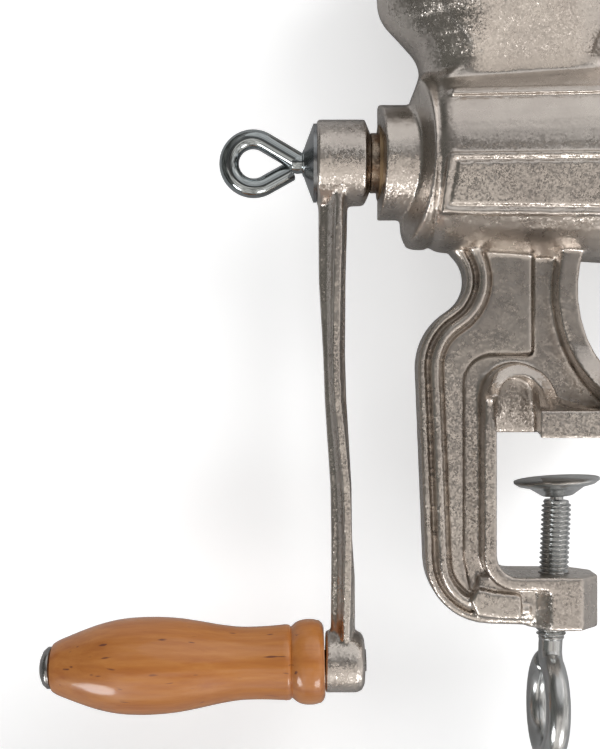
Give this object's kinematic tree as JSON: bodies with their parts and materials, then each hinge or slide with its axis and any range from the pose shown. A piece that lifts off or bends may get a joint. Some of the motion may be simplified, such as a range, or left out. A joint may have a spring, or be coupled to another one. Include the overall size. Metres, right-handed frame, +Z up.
{
  "type": "meat grinder",
  "caption": "Hand cranked table-clamp meat grinder: cast body with hopper, auger, knife, perforated plate, ring nut, crank with turned wooden grip and screw clamp.",
  "frame": {"origin": "where the clamp screw's axis meets the underside of the upper jaw, which is the table's top face", "axes": "+X forward along the barrel to the ring nut, +Z up, Y across, with the casting's parting plane at Y = 0"},
  "size_m": [0.2561, 0.094, 0.3271],
  "materials": {
    "tinned_casting": "tinned sand casting with a fine bright grain",
    "bright_steel": "ground steel",
    "plated_bolt": "bright plating",
    "grey_steel": "dull zinc plating",
    "bronze": "plain machined",
    "varnished_wood": "turned hardwood under clear varnish"
  },
  "bodies": {
    "casting": {"body_casting": "tinned_casting", "rear_bush": "bronze", "thrust_washer": "bronze", "plate_pin": "bright_steel"},
    "rotor": {"auger": "tinned_casting", "drive_stud": "bright_steel", "knife": "bright_steel", "crank_arm": "tinned_casting", "grip_spindle": "bright_steel"},
    "handle": {"grip": "varnished_wood"},
    "washer": {"cone_washer": "plated_bolt"},
    "bolt": {"crank_bolt": "plated_bolt"},
    "plate": {"grinding_plate": "bright_steel"},
    "nut": {"ring_nut": "tinned_casting"},
    "pad": {"clamp_pad": "grey_steel"},
    "screw": {"clamp_screw": "grey_steel"}
  },
  "joints": [
    {"name": "crank_spin", "type": "hinge", "parent": "casting", "child": "rotor", "pos_m": [0, 0, 0.0995], "axis": [1, 0, 0], "continuous": true},
    {"name": "grip_spin", "type": "hinge", "parent": "rotor", "child": "handle", "pos_m": [-0.085, 0, -0.0848], "axis": [-0.9997, 0, -0.0244], "continuous": true},
    {"name": "washer_slide", "type": "slide", "parent": "rotor", "child": "washer", "axis": [-1, 0, 0], "range_m": [0, 0.0116]},
    {"name": "bolt_turn", "type": "hinge", "parent": "washer", "child": "bolt", "pos_m": [-0.09, 0, 0.0995], "axis": [-1, 0, 0], "range_deg": [0, 3240]},
    {"name": "plate_slide", "type": "slide", "parent": "casting", "child": "plate", "axis": [1, 0, 0], "range_m": [0, 0.0121]},
    {"name": "nut_turn", "type": "hinge", "parent": "plate", "child": "nut", "pos_m": [0.055, 0, 0.0995], "axis": [1, 0, 0], "range_deg": [0, 1080]},
    {"name": "pad_slide", "type": "slide", "parent": "casting", "child": "pad", "axis": [0.0436, 0, 0.999], "range_m": [-0.0254, 0.0071]},
    {"name": "screw_turn", "type": "hinge", "parent": "pad", "child": "screw", "pos_m": [0, 0, -0.04], "axis": [0.0436, 0, 0.999], "range_deg": [-5220, 1440]}
  ],
  "couplings": [
    {"joint": "washer_slide", "follows": "bolt_turn", "m_per_rad": 0.00019894},
    {"joint": "plate_slide", "follows": "nut_turn", "m_per_rad": 0.00063662},
    {"joint": "pad_slide", "follows": "screw_turn", "m_per_rad": 0.00027852}
  ]
}
